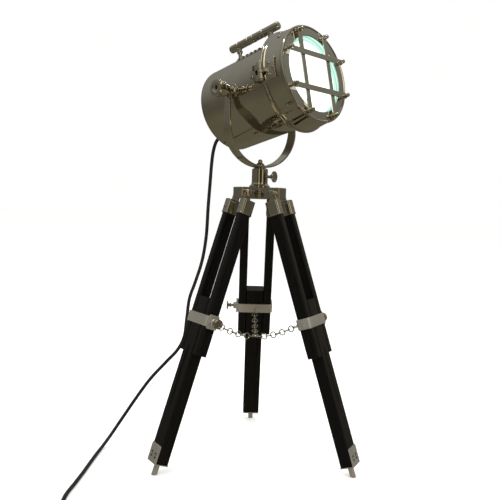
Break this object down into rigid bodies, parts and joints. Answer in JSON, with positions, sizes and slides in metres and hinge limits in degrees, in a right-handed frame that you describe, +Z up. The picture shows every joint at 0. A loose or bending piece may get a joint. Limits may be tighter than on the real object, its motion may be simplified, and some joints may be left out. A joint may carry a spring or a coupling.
{
  "type": "tripod floor lamp",
  "caption": "Searchlight floor lamp: polished drum head with hinged grille door in a yoke, on a folding wooden tripod with sliding lower legs and a spreader chain",
  "frame": {"origin": "on the floor, under the middle of the lamp's box without its free cord", "axes": "+Z up; +X to the right of a viewer in front; the rear leg points along +Y"},
  "size_m": [0.6402, 0.6357, 0.8907],
  "materials": {
    "polished_nickel": "polished",
    "satin_nickel": "satin",
    "black_lacquer": "gloss lacquer",
    "lamp_glass": "frosted, lit",
    "bulb_glass": "frosted",
    "reflector_mirror": "polished",
    "holder_white": "glazed",
    "cord_rubber": "smooth"
  },
  "bodies": {
    "stand": {"tripod_head_casting": "polished_nickel", "head_socket": "polished_nickel", "chain_centre_ring": "satin_nickel", "chain_arm_rear": "satin_nickel", "chain_arm_left": "satin_nickel", "chain_arm_right": "satin_nickel", "mains_cord": "cord_rubber", "cord_coil": "cord_rubber", "mains_plug": "cord_rubber"},
    "socket_screw": {"socket_thumbscrew": "polished_nickel"},
    "yoke": {"yoke": "polished_nickel", "yoke_spigot": "polished_nickel"},
    "head": {"drum_shell": "polished_nickel", "rear_cover": "polished_nickel", "cable_gland": "satin_nickel", "reflector": "reflector_mirror", "lamp_holder": "holder_white", "bulb": "bulb_glass", "trunnion_left": "polished_nickel", "trunnion_right": "polished_nickel", "handle_bar": "polished_nickel", "handle_post_front": "polished_nickel", "handle_post_rear": "polished_nickel", "hinge_leaf_drum": "satin_nickel", "hinge_pin": "satin_nickel", "latch_bracket": "satin_nickel"},
    "tilt_knob_left": {"tilt_knob_left": "polished_nickel"},
    "tilt_knob_right": {"tilt_knob_right": "polished_nickel"},
    "door": {"front_bezel": "polished_nickel", "lens": "lamp_glass", "guard_grille": "satin_nickel", "hinge_leaf_bezel": "satin_nickel"},
    "latch": {"latch_lever": "satin_nickel"},
    "leg_rear": {"upper_stick_rear_a": "black_lacquer", "upper_stick_rear_b": "black_lacquer", "ferrule_rear_a": "polished_nickel", "ferrule_rear_b": "polished_nickel", "pivot_bolt_rear": "satin_nickel", "clamp_band_rear": "satin_nickel"},
    "lower_rear": {"lower_leg_rear": "black_lacquer", "shoe_rear": "satin_nickel"},
    "clamp_screw_rear": {"clamp_thumbscrew_rear": "satin_nickel"},
    "leg_left": {"upper_stick_left_a": "black_lacquer", "upper_stick_left_b": "black_lacquer", "ferrule_left_a": "polished_nickel", "ferrule_left_b": "polished_nickel", "pivot_bolt_left": "satin_nickel", "clamp_band_left": "satin_nickel"},
    "lower_left": {"lower_leg_left": "black_lacquer", "shoe_left": "satin_nickel"},
    "clamp_screw_left": {"clamp_thumbscrew_left": "satin_nickel"},
    "leg_right": {"upper_stick_right_a": "black_lacquer", "upper_stick_right_b": "black_lacquer", "ferrule_right_a": "polished_nickel", "ferrule_right_b": "polished_nickel", "pivot_bolt_right": "satin_nickel", "clamp_band_right": "satin_nickel"},
    "lower_right": {"lower_leg_right": "black_lacquer", "shoe_right": "satin_nickel"},
    "clamp_screw_right": {"clamp_thumbscrew_right": "satin_nickel"}
  },
  "joints": [
    {"name": "fold_rear", "type": "hinge", "parent": "stand", "child": "leg_rear", "pos_m": [-0.00054, 0.00948, 0.55], "axis": [-1, 0.0087, 0], "range_deg": [0, 17], "deforming": ["chain_arm_rear"]},
    {"name": "slide_rear", "type": "slide", "parent": "leg_rear", "child": "lower_rear", "axis": [-0.0028, -0.3188, 0.9478], "range_m": [-0.024, 0.16]},
    {"name": "clamp_turn_rear", "type": "hinge", "parent": "leg_rear", "child": "clamp_screw_rear", "pos_m": [-0.05979, 0.09545, 0.29598], "axis": [-1, 0.0087, 0], "continuous": true},
    {"name": "fold_left", "type": "hinge", "parent": "stand", "child": "leg_left", "pos_m": [-0.03517, -0.05112, 0.55], "axis": [0.515, -0.8572, 0], "range_deg": [0, 17], "deforming": ["chain_arm_left"]},
    {"name": "slide_left", "type": "slide", "parent": "leg_left", "child": "lower_left", "axis": [0.2733, 0.1642, 0.9478], "range_m": [-0.024, 0.16]},
    {"name": "clamp_turn_left", "type": "hinge", "parent": "leg_left", "child": "clamp_screw_left", "pos_m": [-0.07751, -0.14655, 0.29598], "axis": [0.515, -0.8572, 0], "continuous": true},
    {"name": "fold_right", "type": "hinge", "parent": "stand", "child": "leg_right", "pos_m": [0.03375, -0.05052, 0.55], "axis": [0.5, 0.866, 0], "range_deg": [0, 17], "deforming": ["chain_arm_right"]},
    {"name": "slide_right", "type": "slide", "parent": "leg_right", "child": "lower_right", "axis": [-0.2761, 0.1594, 0.9478], "range_m": [-0.024, 0.16]},
    {"name": "clamp_turn_right", "type": "hinge", "parent": "leg_right", "child": "clamp_screw_right", "pos_m": [0.13775, -0.04127, 0.29598], "axis": [0.5, 0.866, 0], "continuous": true},
    {"name": "socket_screw_turn", "type": "hinge", "parent": "stand", "child": "socket_screw", "pos_m": [0.02455, -0.04641, 0.5838], "axis": [0.848, -0.5299, 0], "continuous": true},
    {"name": "pan", "type": "hinge", "parent": "stand", "child": "yoke", "pos_m": [-0.00089, -0.03052, 0.603], "axis": [0, 0, 1], "range_deg": [-170, 170], "deforming": ["mains_cord"]},
    {"name": "tilt", "type": "hinge", "parent": "yoke", "child": "head", "pos_m": [-0.00089, -0.03052, 0.746], "axis": [-0.7133, -0.7009, 0], "range_deg": [-42, 45]},
    {"name": "knob_turn_left", "type": "hinge", "parent": "head", "child": "tilt_knob_left", "pos_m": [0.08113, 0.05009, 0.746], "axis": [0.7133, 0.7009, 0], "continuous": true},
    {"name": "knob_turn_right", "type": "hinge", "parent": "head", "child": "tilt_knob_right", "pos_m": [-0.08291, -0.11112, 0.746], "axis": [-0.7133, -0.7009, 0], "continuous": true},
    {"name": "door_swing", "type": "hinge", "parent": "head", "child": "door", "pos_m": [-0.01122, -0.17121, 0.76819], "axis": [0.1368, -0.1642, -0.9769], "range_deg": [0, 110]},
    {"name": "latch_swing", "type": "hinge", "parent": "head", "child": "latch", "pos_m": [0.11162, -0.00949, 0.75823], "axis": [-0.1368, 0.1642, 0.9769], "range_deg": [0, 120]}
  ]
}
